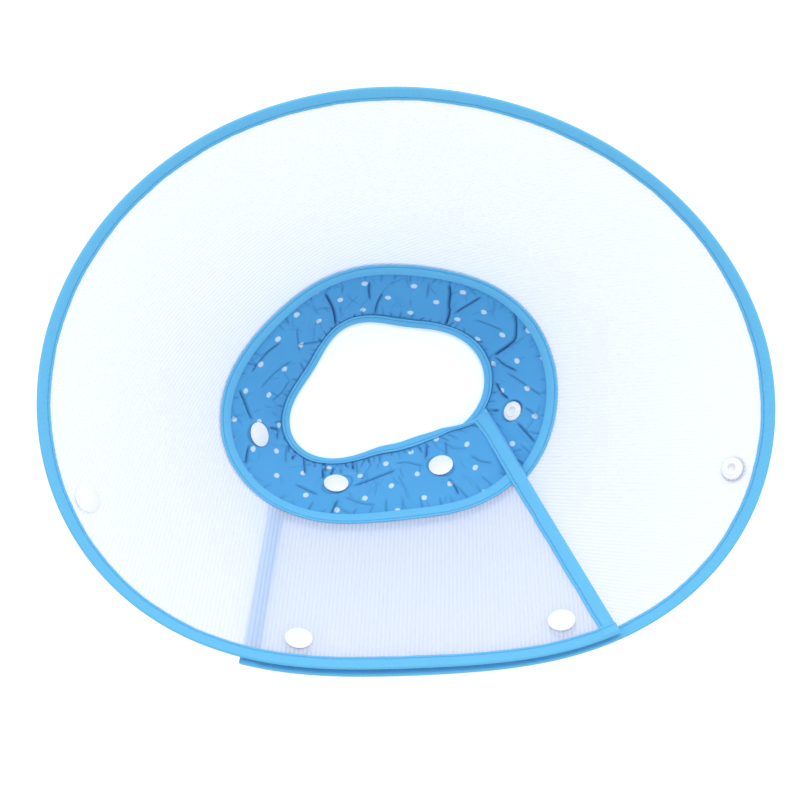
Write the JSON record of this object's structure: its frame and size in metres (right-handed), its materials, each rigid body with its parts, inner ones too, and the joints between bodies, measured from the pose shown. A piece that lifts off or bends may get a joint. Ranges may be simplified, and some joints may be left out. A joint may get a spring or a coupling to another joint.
{
  "type": "elizabethan collar",
  "caption": "Flared cone of flexible ribbed plastic sheet on a padded dotted fabric neck band, edged with folded blue tape and closed by two rows of press snaps.",
  "frame": {"origin": "middle of the neck opening, on the plane of the neck edge that the collar stands on", "axes": "+Z along the cone axis from the neck edge to the wide mouth; +X towards the right panel, so the lapped snap closure faces -Y"},
  "size_m": [0.3306, 0.2645, 0.1149],
  "materials": {
    "sheet_plastic": "milky translucent sheet with fine straight ribs",
    "binding_tape": "plain woven folded binding tape, light blue",
    "dotted_fabric": "smooth woven blue fabric with small pale dots",
    "lining_fabric": "plain woven blue lining",
    "pad_foam": "soft open-cell foam",
    "snap_plastic": "moulded white plastic, slight gloss"
  },
  "bodies": {
    "cone_back": {"cone_back_neck_tape": "binding_tape", "cone_back_pad_foam": "pad_foam", "cone_back_pad_front": "dotted_fabric", "cone_back_pad_lining": "lining_fabric", "cone_back_rim_tape": "binding_tape", "cone_back_seam_tape": "binding_tape", "cone_back_sheet": "sheet_plastic", "cone_back_snap_caps": "snap_plastic", "cone_back_snap_studs": "snap_plastic"},
    "right_panel": {"right_panel_neck_tape": "binding_tape", "right_panel_pad_foam": "pad_foam", "right_panel_pad_front": "dotted_fabric", "right_panel_pad_lining": "lining_fabric", "right_panel_rim_tape": "binding_tape", "right_panel_seam_tape": "binding_tape", "right_panel_sheet": "sheet_plastic", "right_panel_snap_caps": "snap_plastic", "right_panel_snap_sockets": "snap_plastic"},
    "outer_flap": {"outer_flap_end_tape": "binding_tape", "outer_flap_neck_tape": "binding_tape", "outer_flap_pad_foam": "pad_foam", "outer_flap_pad_front": "dotted_fabric", "outer_flap_pad_lining": "lining_fabric", "outer_flap_rim_tape": "binding_tape", "outer_flap_seam_tape": "binding_tape", "outer_flap_sheet": "sheet_plastic", "outer_flap_snap_caps": "snap_plastic", "outer_flap_snap_sockets": "snap_plastic"},
    "inner_flap": {"inner_flap_end_tape": "binding_tape", "inner_flap_neck_tape": "binding_tape", "inner_flap_pad_foam": "pad_foam", "inner_flap_pad_front": "dotted_fabric", "inner_flap_pad_lining": "lining_fabric", "inner_flap_rim_tape": "binding_tape", "inner_flap_seam_tape": "binding_tape", "inner_flap_sheet": "sheet_plastic", "inner_flap_snap_caps": "snap_plastic", "inner_flap_snap_studs": "snap_plastic"}
  },
  "joints": [
    {"name": "right_panel_bend", "type": "hinge", "parent": "cone_back", "child": "right_panel", "pos_m": [0.07993, 0.02292, 0.02996], "axis": [0.687, 0.197, 0.6994], "range_deg": [0, 35], "stiffness_Nm_per_rad": 0.3},
    {"name": "outer_flap_bend", "type": "hinge", "parent": "right_panel", "child": "outer_flap", "pos_m": [0.06387, -0.04148, 0.0298], "axis": [0.6115, -0.3971, 0.6843], "range_deg": [0, 45], "stiffness_Nm_per_rad": 0.3},
    {"name": "inner_flap_bend", "type": "hinge", "parent": "cone_back", "child": "inner_flap", "pos_m": [-0.03559, -0.02781, 0.00231], "axis": [-0.5395, -0.4215, 0.7289], "range_deg": [0, 18], "stiffness_Nm_per_rad": 0.3}
  ]
}
